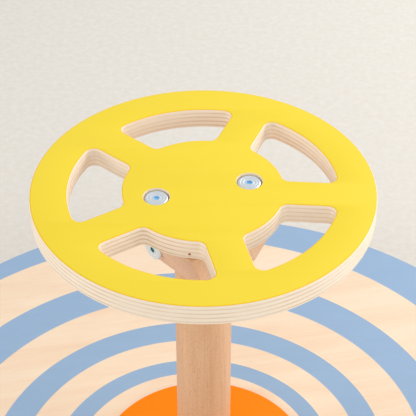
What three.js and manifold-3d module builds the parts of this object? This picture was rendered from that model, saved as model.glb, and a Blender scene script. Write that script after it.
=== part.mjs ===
// A small indoor merry-go-round: a round plywood platform that turns on a ball bearing,
// round a fixed beech post with a hand wheel on its top.
// Millimetres, +Z up. The origin is on the floor, under the axis of the post.

import * as THREE from 'three';
import { mergeVertices } from 'three/addons/utils/BufferGeometryUtils.js';
import Module from 'manifold-3d';

const wasm = await Module();
wasm.setup();

// ---------------------------------------------------------------- driving dimensions

const GAP = 0.3; // play between pieces that touch
const PLATFORM_RADIUS = 400;
const PLATFORM_THICKNESS = 21;
const PLATFORM_EDGE = 1.5; // chamfer
const WHEEL_RADIUS = 157;
const WHEEL_THICKNESS = 20.7;
const WHEEL_EDGE = 0.8; // chamfer of every edge of the wheel
const WHEEL_ABOVE_PLATFORM = 363; // top face to top face
const WINDOW_COUNT = 5;
const WINDOW_INNER_RADIUS = 74;
const WINDOW_OUTER_RADIUS = 123;
const WINDOW_FILLET = 8;
const SPOKE_HALF_WIDTH = 17.3;
const WHEEL_TURN = THREE.MathUtils.degToRad(-4.2); // direction of the first spoke
const POST_RADIUS = 27;
const BOLT_CIRCLE = 43.5; // radius of the two wheel bolts
const BOLT_TURN = THREE.MathUtils.degToRad(14.8); // direction of the first wheel bolt
const COVER_RADIUS = 109;
const COVER_THICKNESS = 4;

// Head block: an upside-down truncated pyramid, wide at the wheel and narrow at the post.
const HEAD_TURN = THREE.MathUtils.degToRad(43);
const HEAD_HEIGHT = 61;
const HEAD_TOP_HALF = [60.5, 50.5];
const HEAD_BOTTOM_HALF = [32.5, 36.5];

const FOOT_COUNT = 6;
const FOOT_HEIGHT = 14;
const FOOT_CIRCLE = 245;
const FOOT_RADIUS = 21;
const BASE_RADIUS = 275;
const BASE_THICKNESS = 18;
const BALL_COUNT = 10;
const BALL_RADIUS = 6;
const BALL_CIRCLE = 150;
const GROOVE_RADIUS = 7;
const RACE_HALF_WIDTH = 22;
const RACE_THICKNESS = 6.6;
const RACE_HALF_GAP = 1.8; // from the balls' centre to the face of either race
const RACE_SCREW_CIRCLE = 164;
const RACE_SCREWS = 4;
const CAGE_HALF_WIDTH = 11;
const CAGE_THICKNESS = 1.6;

// ---------------------------------------------------------------- heights from the floor up

const baseBottom = FOOT_HEIGHT + GAP;
const baseTop = baseBottom + BASE_THICKNESS;
const lowerRaceBottom = baseTop + GAP;
const lowerRaceTop = lowerRaceBottom + RACE_THICKNESS;
const ballCentre = lowerRaceTop + RACE_HALF_GAP;
const upperRaceBottom = ballCentre + RACE_HALF_GAP;
const upperRaceTop = upperRaceBottom + RACE_THICKNESS;
const platformBottom = upperRaceTop + GAP;
const platformTop = platformBottom + PLATFORM_THICKNESS;
const coverBottom = platformTop + GAP;
const wheelTop = platformTop + WHEEL_ABOVE_PLATFORM;
const wheelBottom = wheelTop - WHEEL_THICKNESS;
const headTop = wheelBottom - GAP;
const headBottom = headTop - HEAD_HEIGHT;
const postTop = headBottom - GAP;

// ---------------------------------------------------------------- materials

function material(color, roughness, metalness = 0) {
  return new THREE.MeshStandardMaterial({ color, roughness, metalness });
}
const looks = {
  yellow: () => material(0xfde350, 0.45),
  birch: () => material(0xf7dec0, 0.6),
  beech: () => material(0xd9a87e, 0.6),
  orange: () => material(0xff8a22, 0.5),
  zinc: () => material(0xc4d1da, 0.3, 1),
  steel: () => material(0x9aa0a6, 0.35, 1),
  rubber: () => material(0x2b2b2d, 0.85),
  nylon: () => material(0xe8e6df, 0.5),
};

// ---------------------------------------------------------------- solids

const TURN = 2 * Math.PI;

function signedVolume(position, triangles) {
  const [a, b, c] = [new THREE.Vector3(), new THREE.Vector3(), new THREE.Vector3()];
  let total = 0;
  for (let i = 0; i < triangles.length; i += 3) {
    a.fromArray(position, 3 * triangles[i]);
    b.fromArray(position, 3 * triangles[i + 1]);
    c.fromArray(position, 3 * triangles[i + 2]);
    total += a.dot(b.cross(c));
  }
  return total / 6;
}

// A closed geometry becomes a solid: shared vertices are merged, empty triangles are
// dropped and the faces are made to point out.
function solid(geometry) {
  geometry.deleteAttribute('normal');
  geometry.deleteAttribute('uv');
  const merged = mergeVertices(geometry);
  const position = merged.getAttribute('position').array;
  const index = merged.getIndex().array;
  const kept = [];
  for (let i = 0; i < index.length; i += 3) {
    const [a, b, c] = index.slice(i, i + 3);
    if (a !== b && b !== c && c !== a) kept.push(a, b, c);
  }
  if (signedVolume(position, kept) < 0) kept.reverse();
  return new wasm.Manifold(new wasm.Mesh({
    numProp: 3,
    vertProperties: Float32Array.from(position),
    triVerts: Uint32Array.from(kept),
  }));
}

// Turned about Z from a profile of [radius, height] points. A ring's profile closes on itself.
function turned(profile, segments) {
  const points = profile.map(([radius, height]) => new THREE.Vector2(radius, height));
  return solid(new THREE.LatheGeometry(points, segments).rotateX(Math.PI / 2));
}

function rod(radius, bottom, top, segments = 16) {
  return turned([[0, bottom], [radius, bottom], [radius, top], [0, top]], segments);
}

function ring(inner, outer, bottom, top, segments) {
  return turned([[inner, bottom], [outer, bottom], [outer, top], [inner, top], [inner, bottom]], segments);
}

function hexagon(acrossFlats, bottom, top) {
  const corner = acrossFlats / Math.sqrt(3);
  return turned([[0, bottom], [corner, bottom], [corner, top], [0, top]], 6);
}

// Places around a circle, as [x, y, angle].
function around(count, radius, first = 0) {
  return Array.from({ length: count }, (unused, i) => {
    const angle = first + (i * TURN) / count;
    return [radius * Math.cos(angle), radius * Math.sin(angle), angle];
  });
}

function cut(body, tools) {
  return tools.reduce((left, tool) => left.subtract(tool), body);
}

function holes(places, radius, bottom, top, segments = 8) {
  return places.map(([x, y]) => rod(radius, bottom, top, segments).translate([x, y, 0]));
}

const carousel = new THREE.Group();

function add(name, body, look) {
  const mesh = body.getMesh();
  const geometry = new THREE.BufferGeometry();
  geometry.setAttribute('position', new THREE.BufferAttribute(mesh.vertProperties, 3));
  geometry.setIndex(new THREE.BufferAttribute(mesh.triVerts, 1));
  geometry.computeVertexNormals();
  const part = new THREE.Mesh(geometry, look());
  part.name = name;
  carousel.add(part);
  return part;
}

function addEach(name, places, body, look) {
  places.forEach(([x, y], i) => {
    add(`${name}_${i + 1}`, body, look).position.set(x, y, 0);
  });
}

// ---------------------------------------------------------------- places that pieces share

const feet = around(FOOT_COUNT, FOOT_CIRCLE, TURN / 12);
const SOCKET_SCREW_CIRCLE = 48;
const COVER_SCREW_CIRCLE = 95;
const socketScrews = around(4, SOCKET_SCREW_CIRCLE, TURN / 8);
const lowerRaceScrews = around(RACE_SCREWS, RACE_SCREW_CIRCLE, TURN / 8);
const upperRaceScrews = around(RACE_SCREWS, RACE_SCREW_CIRCLE);
const coverScrews = around(4, COVER_SCREW_CIRCLE, TURN / 8);
const wheelBolts = around(2, BOLT_CIRCLE, BOLT_TURN);
const DOWEL_CIRCLE = 17;
const DOWEL_RADIUS = 4;
const DOWEL_HOLE = 4.6;
const DOWEL_REACH = 20; // into the post, and into the block
const dowels = around(2, DOWEL_CIRCLE, HEAD_TURN);

const ROD_RADIUS = 6; // tie rod through the post
const ROD_HOLE = 6.6;
const NUT_FLATS = 18;
const NUT_HEIGHT = 10;
const WASHER_RADIUS = 12;
const WASHER_THICKNESS = 2.5;
const NUT_POCKET = 13.5; // radius of the recess for a tie-rod washer and nut
const BASE_POCKET_DEPTH = 8.5;
const HEAD_POCKET_DEPTH = 19;

// ---------------------------------------------------------------- wood screws

const SCREW_HEAD = 4.5;
const SCREW_SHANK = 2.2;
const SCREW_HEAD_HEIGHT = 3;
const SCREW_POINT = 4; // length of its cone
const SCREW_SIDES = 8;
const PILOT_HOLE = 2.5;

// Pan-head wood screw that points up, with the underside of its head at the given height.
function screwUp(seat, length) {
  const head = seat - SCREW_HEAD_HEIGHT;
  const shoulder = seat - SCREW_HEAD_HEIGHT / 2;
  return turned([
    [0, head], [SCREW_HEAD * 0.7, head], [SCREW_HEAD, shoulder], [SCREW_HEAD, seat],
    [SCREW_SHANK, seat], [SCREW_SHANK, seat + length - SCREW_POINT], [0, seat + length],
  ], SCREW_SIDES);
}

// The same screw pointing down.
function screwDown(seat, length) {
  return screwUp(-seat, length).rotate([180, 0, 0]);
}

// ---------------------------------------------------------------- base

const FOOT_SCREW_POCKET = 8;
const FOOT_SCREW_SEAT = 6; // height of the web that the screw's head bears on
const FOOT_HOLE = 2.6;
const FOOT_CHAMFER = 2;
const FOOT_TAPER = 3;
const SCREW_LENGTH = 24;

function foot() {
  const outline = [
    [FOOT_HOLE, FOOT_SCREW_SEAT], [FOOT_SCREW_POCKET, FOOT_SCREW_SEAT], [FOOT_SCREW_POCKET, 0],
    [FOOT_RADIUS - FOOT_CHAMFER, 0], [FOOT_RADIUS, FOOT_CHAMFER],
    [FOOT_RADIUS - FOOT_TAPER, FOOT_HEIGHT], [FOOT_HOLE, FOOT_HEIGHT], [FOOT_HOLE, FOOT_SCREW_SEAT],
  ];
  return turned(outline, 14);
}
addEach('foot', feet, foot(), looks.rubber);

addEach('foot_screw', feet, screwUp(FOOT_SCREW_SEAT - GAP, SCREW_LENGTH), looks.zinc);

const BASE_EDGE = 1; // chamfer
const BASE_SCREW_DEPTH = 14;

function baseBoard() {
  const profile = [
    [0, baseBottom], [BASE_RADIUS - BASE_EDGE, baseBottom], [BASE_RADIUS, baseBottom + BASE_EDGE],
    [BASE_RADIUS, baseTop - BASE_EDGE], [BASE_RADIUS - BASE_EDGE, baseTop], [0, baseTop],
  ];
  return cut(turned(profile, 60), [
    rod(ROD_HOLE, baseBottom - 1, baseTop + 1),
    rod(NUT_POCKET, baseBottom - 1, baseBottom + BASE_POCKET_DEPTH),
    ...holes(feet, PILOT_HOLE, baseBottom - 1, FOOT_SCREW_SEAT + SCREW_LENGTH + 0.5),
    ...holes(socketScrews, PILOT_HOLE, baseTop - BASE_SCREW_DEPTH, baseTop + 1),
    ...holes(lowerRaceScrews, PILOT_HOLE, baseTop - BASE_SCREW_DEPTH, baseTop + 1),
  ]);
}
add('base_board', baseBoard(), looks.birch);

// ---------------------------------------------------------------- post socket

const SOCKET_PLATE = 4;
const SOCKET_RADIUS = 60;
const SOCKET_WALL = 3.2;
const SOCKET_PLAY = 0.4; // round the post
const SOCKET_RIM_DEPTH = 1.4; // stays clear of the turning platform
const SOCKET_SCREW_HOLE = 2.8;
const SOCKET_SCREW_LENGTH = 17;
const socketBottom = baseTop + GAP;
const socketFloor = socketBottom + SOCKET_PLATE;

function postSocket() {
  const inner = POST_RADIUS + SOCKET_PLAY;
  const outer = inner + SOCKET_WALL;
  const rim = platformBottom - SOCKET_RIM_DEPTH;
  const body = turned([
    [ROD_HOLE, socketBottom], [SOCKET_RADIUS, socketBottom], [SOCKET_RADIUS, socketFloor],
    [outer, socketFloor], [outer, rim], [inner, rim], [inner, socketFloor],
    [ROD_HOLE, socketFloor], [ROD_HOLE, socketBottom],
  ], 28);
  return cut(body, holes(socketScrews, SOCKET_SCREW_HOLE, socketBottom - 1, socketFloor + 1));
}
add('post_socket', postSocket(), looks.steel);

addEach('socket_screw', socketScrews, screwDown(socketFloor + GAP, SOCKET_SCREW_LENGTH), looks.zinc);

// ---------------------------------------------------------------- ball bearing

const inside = BALL_CIRCLE - RACE_HALF_WIDTH;
const outside = BALL_CIRCLE + RACE_HALF_WIDTH;
const COUNTERSINK = 4.6;
const RACE_HOLE = 2.5;
const SUNK_DEPTH = 0.4; // of a head's top under the race face
const SUNK_NECK = 2.6;
const SUNK_SHANK = 2.1;
const LOWER_SCREW_LENGTH = 19;
const UPPER_SCREW_LENGTH = 22;

// The groove's arc across a race face, from the inner side to the outer side.
function groove(face) {
  const rise = Math.asin(Math.abs(face - ballCentre) / GROOVE_RADIUS);
  const side = Math.sign(face - ballCentre);
  const steps = 4;
  return Array.from({ length: steps + 1 }, (unused, i) => {
    const angle = Math.PI - rise - (i * (Math.PI - 2 * rise)) / steps;
    return [
      BALL_CIRCLE + GROOVE_RADIUS * Math.cos(angle),
      ballCentre + side * GROOVE_RADIUS * Math.sin(angle),
    ];
  });
}

function countersink(face, direction) {
  const through = face + direction * (RACE_THICKNESS + 1);
  const neck = face + direction * (COUNTERSINK - RACE_HOLE);
  const out = face - direction;
  return turned([
    [0, out], [COUNTERSINK, out], [COUNTERSINK, face],
    [RACE_HOLE, neck], [RACE_HOLE, through], [0, through],
  ], 8);
}

function race(face, back, places) {
  const body = turned([
    [inside, back], [inside, face], ...groove(face), [outside, face], [outside, back], [inside, back],
  ], 48);
  const sink = countersink(face, Math.sign(back - face));
  return cut(body, places.map(([x, y]) => sink.translate([x, y, 0])));
}
add('lower_race', race(lowerRaceTop, lowerRaceBottom, lowerRaceScrews), looks.steel);
add('upper_race', race(upperRaceBottom, upperRaceTop, upperRaceScrews), looks.steel);

// Countersunk wood screw with its head just under a race face.
function sunkScrew(face, direction, length) {
  const top = face + direction * SUNK_DEPTH;
  const neck = face + direction * SUNK_NECK;
  return turned([
    [0, top], [COUNTERSINK - 0.9, top], [SUNK_SHANK, neck],
    [SUNK_SHANK, face + direction * (length - SCREW_POINT)],
    [0, face + direction * length],
  ], SCREW_SIDES);
}
addEach('lower_race_screw', lowerRaceScrews, sunkScrew(lowerRaceTop, -1, LOWER_SCREW_LENGTH), looks.zinc);
addEach('upper_race_screw', upperRaceScrews, sunkScrew(upperRaceBottom, 1, UPPER_SCREW_LENGTH), looks.zinc);

const balls = around(BALL_COUNT, BALL_CIRCLE, TURN / 20);

function ballCage() {
  const low = ballCentre - CAGE_THICKNESS / 2;
  const high = ballCentre + CAGE_THICKNESS / 2;
  const body = ring(BALL_CIRCLE - CAGE_HALF_WIDTH, BALL_CIRCLE + CAGE_HALF_WIDTH, low, high, 40);
  return cut(body, holes(balls, BALL_RADIUS + 0.5, low - 1, high + 1, 10));
}
add('ball_cage', ballCage(), looks.nylon);

const ball = solid(new THREE.SphereGeometry(BALL_RADIUS, 8, 6)).translate([0, 0, ballCentre]);
addEach('ball', balls, ball, looks.steel);

// ---------------------------------------------------------------- platform and its centre cover

const PLATFORM_PLAY = 4; // round the post
const COVER_PLAY = 1.5;
const COVER_EDGE = 1.5; // chamfer
const UPPER_PILOT_DEPTH = 16;
const COVER_PILOT_DEPTH = 2.7;

function platform() {
  const hole = POST_RADIUS + PLATFORM_PLAY;
  const profile = [
    [hole, platformBottom], [PLATFORM_RADIUS - PLATFORM_EDGE, platformBottom],
    [PLATFORM_RADIUS, platformBottom + PLATFORM_EDGE], [PLATFORM_RADIUS, platformTop - PLATFORM_EDGE],
    [PLATFORM_RADIUS - PLATFORM_EDGE, platformTop], [hole, platformTop], [hole, platformBottom],
  ];
  return cut(turned(profile, 96), [
    ...holes(upperRaceScrews, PILOT_HOLE, platformBottom - 1, platformBottom + UPPER_PILOT_DEPTH),
    ...holes(coverScrews, PILOT_HOLE, platformBottom - 1, platformTop + 1),
  ]);
}
add('platform', platform(), looks.birch);

function centreCover() {
  const hole = POST_RADIUS + COVER_PLAY;
  const top = coverBottom + COVER_THICKNESS;
  const profile = [
    [hole, coverBottom], [COVER_RADIUS, coverBottom], [COVER_RADIUS, top - COVER_EDGE],
    [COVER_RADIUS - COVER_EDGE, top], [hole, top], [hole, coverBottom],
  ];
  const pilots = holes(coverScrews, PILOT_HOLE, coverBottom - 1, coverBottom + COVER_PILOT_DEPTH);
  return cut(turned(profile, 60), pilots);
}
add('centre_cover', centreCover(), looks.orange);
addEach('cover_screw', coverScrews, screwUp(platformBottom - GAP, SCREW_LENGTH), looks.zinc);

// ---------------------------------------------------------------- post

function post() {
  const bottom = socketFloor + GAP;
  const profile = [
    [0, bottom], [POST_RADIUS - 1, bottom], [POST_RADIUS, bottom + 1], [POST_RADIUS, postTop], [0, postTop],
  ];
  return cut(turned(profile, 36), [
    rod(ROD_HOLE, bottom - 1, postTop + 1, 16),
    ...holes(dowels, DOWEL_HOLE, postTop - DOWEL_REACH - 1, postTop + 1),
  ]);
}
add('post', post(), looks.beech);

const baseNutSeat = baseBottom + BASE_POCKET_DEPTH;
const headNutSeat = headTop - HEAD_POCKET_DEPTH;
const washerDepth = WASHER_THICKNESS + GAP;

function tieRod() {
  const bottom = baseNutSeat - washerDepth - NUT_HEIGHT - 1;
  const top = headNutSeat + washerDepth + NUT_HEIGHT + 3;
  return turned([
    [0, bottom], [ROD_RADIUS - 1, bottom], [ROD_RADIUS, bottom + 1], [ROD_RADIUS, top - 1],
    [ROD_RADIUS - 1, top], [0, top],
  ], 12);
}
add('tie_rod', tieRod(), looks.zinc);

function washer(bottom) {
  return ring(ROD_RADIUS + GAP, WASHER_RADIUS, bottom, bottom + WASHER_THICKNESS, 16);
}
function nut(bottom) {
  const bore = rod(ROD_RADIUS + GAP, bottom - 1, bottom + NUT_HEIGHT + 1, 12);
  return hexagon(NUT_FLATS, bottom, bottom + NUT_HEIGHT - GAP).subtract(bore);
}
add('tie_washer_lower', washer(baseNutSeat - washerDepth), looks.zinc);
add('tie_nut_lower', nut(baseNutSeat - washerDepth - NUT_HEIGHT), looks.zinc);
add('tie_washer_upper', washer(headNutSeat + GAP), looks.zinc);
add('tie_nut_upper', nut(headNutSeat + GAP + washerDepth), looks.zinc);

// ---------------------------------------------------------------- head block

// Headed barrel nut, with its lengths measured from the wheel bolt's axis.
const BARREL_RADIUS = 8;
const BARREL_INNER_END = 12;
const BARREL_PLAY = 1;
const BARREL_HEAD_RADIUS = 10.5;
const BARREL_HEAD_BACK = 4.6;
const BARREL_HEAD_FACE = 6.8;
const BARREL_HEAD_POCKET = 12;
const BARREL_SOCKET_DEPTH = 1.5;
const BARREL_DEPTH = 59; // below the top face of the wheel
const THREAD_HOLE = 4.3;
const BOLT_HOLE = 4.6;
const barrelHeight = wheelTop - BARREL_DEPTH;
const boltAngle = BOLT_TURN - HEAD_TURN;
const boltAlong = BOLT_CIRCLE * Math.cos(boltAngle);
const boltAcross = BOLT_CIRCLE * Math.sin(boltAngle);

// The bore for a barrel nut, along the block's own X axis, with a wider pocket for its head.
function barrelBore(side) {
  const out = HEAD_TOP_HALF[0];
  const bore = rod(BARREL_RADIUS + BARREL_PLAY, boltAlong - BARREL_INNER_END - 0.5, out, 16);
  const pocket = rod(BARREL_HEAD_POCKET, boltAlong + BARREL_HEAD_BACK - GAP, out, 20);
  return bore.add(pocket).rotate([0, 90, 0])
    .rotate([0, 0, side > 0 ? 0 : 180]).translate([0, side * boltAcross, barrelHeight]);
}

function taperedBlock() {
  const geometry = new THREE.BoxGeometry(2, 2, HEAD_HEIGHT);
  const corners = geometry.getAttribute('position');
  for (let i = 0; i < corners.count; i += 1) {
    const [alongHalf, acrossHalf] = corners.getZ(i) > 0 ? HEAD_TOP_HALF : HEAD_BOTTOM_HALF;
    corners.setXY(i, corners.getX(i) * alongHalf, corners.getY(i) * acrossHalf);
  }
  return solid(geometry).translate([0, 0, (headTop + headBottom) / 2]);
}

function headBlock() {
  const bores = around(2, BOLT_CIRCLE, boltAngle);
  return cut(taperedBlock(), [
    rod(ROD_HOLE, headBottom - 1, headTop + 1, 16),
    rod(NUT_POCKET, headNutSeat, headTop + 1),
    ...holes(around(2, DOWEL_CIRCLE), DOWEL_HOLE, headBottom - 1, headBottom + DOWEL_REACH),
    ...holes(bores, BOLT_HOLE, barrelHeight, headTop + 1),
    barrelBore(1),
    barrelBore(-1),
  ]).rotate([0, 0, THREE.MathUtils.radToDeg(HEAD_TURN)]);
}
add('head_block', headBlock(), looks.beech);

const dowel = rod(DOWEL_RADIUS, postTop - DOWEL_REACH, headBottom + DOWEL_REACH - 1, 12);
addEach('dowel', dowels, dowel, looks.beech);

// ---------------------------------------------------------------- hand wheel

function arc(x, y, radius, from, to, steps) {
  return Array.from({ length: steps + 1 }, (unused, i) => {
    const angle = from + ((to - from) * i) / steps;
    return new THREE.Vector2(x + radius * Math.cos(angle), y + radius * Math.sin(angle));
  });
}

// One window, between the spoke at angle 0 and the next one: two arcs about the wheel's
// axis and two straight sides that run along the spokes, with rounded corners.
function windowPath() {
  const pitch = TURN / WINDOW_COUNT;
  const offset = SPOKE_HALF_WIDTH + WINDOW_FILLET;
  const far = WINDOW_OUTER_RADIUS - WINDOW_FILLET;
  const near = WINDOW_INNER_RADIUS + WINDOW_FILLET;
  const farAngle = Math.asin(offset / far);
  const nearAngle = Math.asin(offset / near);
  const corner = (radius, angle, from, to) => (
    arc(radius * Math.cos(angle), radius * Math.sin(angle), WINDOW_FILLET, from, to, 3)
  );
  const quarter = Math.PI / 2;
  return [
    ...corner(far, farAngle, -quarter, farAngle),
    ...arc(0, 0, WINDOW_OUTER_RADIUS, farAngle, pitch - farAngle, 10).slice(1, -1),
    ...corner(far, pitch - farAngle, pitch - farAngle, pitch + quarter),
    ...corner(near, pitch - nearAngle, pitch + quarter, pitch + Math.PI - nearAngle),
    ...arc(0, 0, WINDOW_INNER_RADIUS, pitch - nearAngle, nearAngle, 6).slice(1, -1),
    ...corner(near, nearAngle, Math.PI + nearAngle, 3 * quarter),
  ];
}

const BOLT_RADIUS = 4;
const BOLT_SOCKET = 5; // across its flats
const BOLT_SOCKET_DEPTH = 2;
const BOLT_HEAD_RADIUS = 10.5;
const BOLT_HEAD_THICKNESS = 3;
const BOLT_HEAD_DEPTH = 1.3; // head's top face under the wheel's top face
const BOLT_POCKET_RADIUS = 12;
const boltHeadTop = wheelTop - BOLT_HEAD_DEPTH;
const boltSeat = boltHeadTop - BOLT_HEAD_THICKNESS;

function handWheel() {
  const shape = new THREE.Shape(arc(0, 0, WHEEL_RADIUS, 0, TURN, 80).slice(0, -1));
  shape.holes.push(new THREE.Path(windowPath()));
  for (let i = 1; i < WINDOW_COUNT; i += 1) {
    const turn = (i * TURN) / WINDOW_COUNT;
    const points = windowPath().map((point) => point.rotateAround(new THREE.Vector2(), turn));
    shape.holes.push(new THREE.Path(points));
  }
  const geometry = new THREE.ExtrudeGeometry(shape, {
    depth: WHEEL_THICKNESS - 2 * WHEEL_EDGE,
    bevelThickness: WHEEL_EDGE,
    bevelSize: WHEEL_EDGE,
    bevelOffset: -WHEEL_EDGE,
    bevelSegments: 1,
  });
  const disc = solid(geometry.rotateZ(WHEEL_TURN).translate(0, 0, wheelBottom + WHEEL_EDGE));
  return cut(disc, [
    ...holes(wheelBolts, BOLT_POCKET_RADIUS, boltSeat - GAP, wheelTop + 1, 24),
    ...holes(wheelBolts, BOLT_HOLE, wheelBottom - 1, wheelTop),
  ]);
}
add('hand_wheel', handWheel(), looks.yellow);

// Flat-headed connector bolt with a hexagon socket.
function wheelBolt() {
  const end = barrelHeight - BARREL_RADIUS + 1;
  const body = turned([
    [0, end], [BOLT_RADIUS - 1, end], [BOLT_RADIUS, end + 1], [BOLT_RADIUS, boltSeat],
    [BOLT_HEAD_RADIUS, boltSeat],
    [BOLT_HEAD_RADIUS, boltHeadTop - 1], [BOLT_HEAD_RADIUS - 1, boltHeadTop], [0, boltHeadTop],
  ], 20);
  return body.subtract(hexagon(BOLT_SOCKET, boltHeadTop - BOLT_SOCKET_DEPTH, boltHeadTop + 1));
}
addEach('wheel_bolt', wheelBolts, wheelBolt(), looks.zinc);

// Barrel nut across the block: the wheel bolt screws into it, and its flat head shows in
// the block's sloping face.
function barrelNut(side) {
  const edge = 0.6;
  const body = turned([
    [0, -BARREL_INNER_END], [BARREL_RADIUS, -BARREL_INNER_END], [BARREL_RADIUS, BARREL_HEAD_BACK],
    [BARREL_HEAD_RADIUS, BARREL_HEAD_BACK], [BARREL_HEAD_RADIUS, BARREL_HEAD_FACE - edge],
    [BARREL_HEAD_RADIUS - edge, BARREL_HEAD_FACE], [0, BARREL_HEAD_FACE],
  ], 20);
  const socket = hexagon(BOLT_SOCKET, BARREL_HEAD_FACE - BARREL_SOCKET_DEPTH, BARREL_HEAD_FACE + 1);
  const thread = rod(THREAD_HOLE, -BARREL_RADIUS - 1, BARREL_RADIUS + 1, 12);
  return cut(body.subtract(socket).rotate([0, 90, 0]), [thread])
    .rotate([0, 0, THREE.MathUtils.radToDeg(HEAD_TURN) + (side > 0 ? 0 : 180)]);
}
[1, -1].forEach((side, i) => {
  const [x, y] = wheelBolts[i];
  add(`barrel_nut_${i + 1}`, barrelNut(side), looks.zinc).position.set(x, y, barrelHeight);
});

export default carousel;
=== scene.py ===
"""The fine surfaces, materials, floor, light and camera of a small indoor merry-go-round.

Metres, +Z up. The origin is on the floor, under the axis of the post.
"""

import math

import bmesh
import bpy
from mathutils import Matrix, Vector
from mathutils.geometry import tessellate_polygon


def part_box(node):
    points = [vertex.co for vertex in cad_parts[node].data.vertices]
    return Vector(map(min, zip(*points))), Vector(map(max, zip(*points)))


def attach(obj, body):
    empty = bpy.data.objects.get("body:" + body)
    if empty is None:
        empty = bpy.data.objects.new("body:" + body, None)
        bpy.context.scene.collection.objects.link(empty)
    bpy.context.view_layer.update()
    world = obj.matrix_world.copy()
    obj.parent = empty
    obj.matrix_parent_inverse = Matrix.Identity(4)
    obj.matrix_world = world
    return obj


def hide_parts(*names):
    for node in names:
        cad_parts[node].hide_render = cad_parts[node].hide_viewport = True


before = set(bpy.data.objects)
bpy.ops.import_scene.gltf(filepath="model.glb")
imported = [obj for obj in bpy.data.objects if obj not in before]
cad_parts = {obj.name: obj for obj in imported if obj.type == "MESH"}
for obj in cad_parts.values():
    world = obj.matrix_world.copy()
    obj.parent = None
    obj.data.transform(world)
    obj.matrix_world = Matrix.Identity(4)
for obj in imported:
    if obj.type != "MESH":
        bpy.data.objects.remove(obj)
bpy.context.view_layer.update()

MM = 0.001
TURN = 2 * math.pi
QUARTER = math.pi / 2
PAST = 1 * MM  # how far a cutter runs past the face that it opens

# ------------------------------------------------------------------ sizes beside the frame's boxes

WINDOW_COUNT = 5
WINDOW_INNER = 74 * MM
WINDOW_OUTER = 123 * MM
WINDOW_FILLET = 8 * MM
SPOKE_HALF = 17.3 * MM
WHEEL_TURN = math.radians(-4.2)
WHEEL_EDGE = 1.5 * MM
POCKET_RADIUS = 12 * MM  # counterbore of a wheel bolt
POCKET_DEPTH = 3.3 * MM  # below the top of the bolt's head
BOLT_HEAD = 3 * MM  # thickness
SOCKET_DEPTH = 1.4 * MM  # of a bolt's and a barrel nut's hexagon
BOLT_HOLE = 4.6 * MM
HEAD_TURN = math.radians(43)
HEAD_TOP_HALF = (60.5 * MM, 50.5 * MM)
HEAD_BOTTOM_HALF = (32.5 * MM, 36.5 * MM)
ROD_HOLE = 6.6 * MM
NUT_POCKET = 13.5 * MM
NUT_FLATS = 18 * MM
HEAD_POCKET_DEPTH = 19 * MM
BASE_POCKET_DEPTH = 8.5 * MM
DOWEL_HOLE = 4.4 * MM
DOWEL_DEPTH = 21 * MM  # in the post

# Headed barrel nut, with its lengths measured from the wheel bolt's axis.
BARREL_RADIUS = 8 * MM
BARREL_INNER_END = 12 * MM
BARREL_PLAY = 1 * MM
BARREL_HEAD_RADIUS = 10.5 * MM
BARREL_HEAD_BACK = 4.6 * MM
BARREL_HEAD_FACE = 6.8 * MM
BARREL_HEAD_POCKET = 12 * MM
BARREL_THREAD = 4.3 * MM

GROOVE_RADIUS = 7 * MM
WOOD_HOLE = 2.5 * MM  # pilot hole of a wood screw
LONG_PILOT = 16 * MM  # its depth for a foot and for the upper race
BASE_PILOT = 14 * MM  # for the socket and the lower race
COVER_PILOT = 2.7 * MM
PLATFORM_PLAY = 4 * MM  # round the post
COVER_PLAY = 1.5 * MM
SOCKET_PLAY = 0.4 * MM
SOCKET_WALL = 3.2 * MM
SOCKET_PLATE = 4 * MM
SOCKET_SCREW_HOLE = 2.8 * MM

# The printed spiral: the outer edge of its band at a quarter turn, how much the band
# grows in a turn, and the part of that pitch which is left bare.
SPIRAL_RADIUS = 296.1 * MM
SPIRAL_GROWTH = 1.4146
SPIRAL_BARE = 0.562


def low(node):
    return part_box(node)[0].z


def high(node):
    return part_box(node)[1].z


def centre(node):
    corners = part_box(node)
    return (corners[0] + corners[1]) / 2


def radius(node):
    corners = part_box(node)
    return (corners[1].x - corners[0].x) / 2


def nodes(prefix):
    return sorted(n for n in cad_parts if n.startswith(prefix) and n[len(prefix):].isdigit())


# ------------------------------------------------------------------ material graphs

def linear(red, green, blue):
    """A colour given as 8-bit sRGB, as the shader wants it."""
    def one(value):
        value /= 255
        return value / 12.92 if value <= 0.04045 else ((value + 0.055) / 1.055) ** 2.4
    return one(red), one(green), one(blue), 1.0


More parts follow.
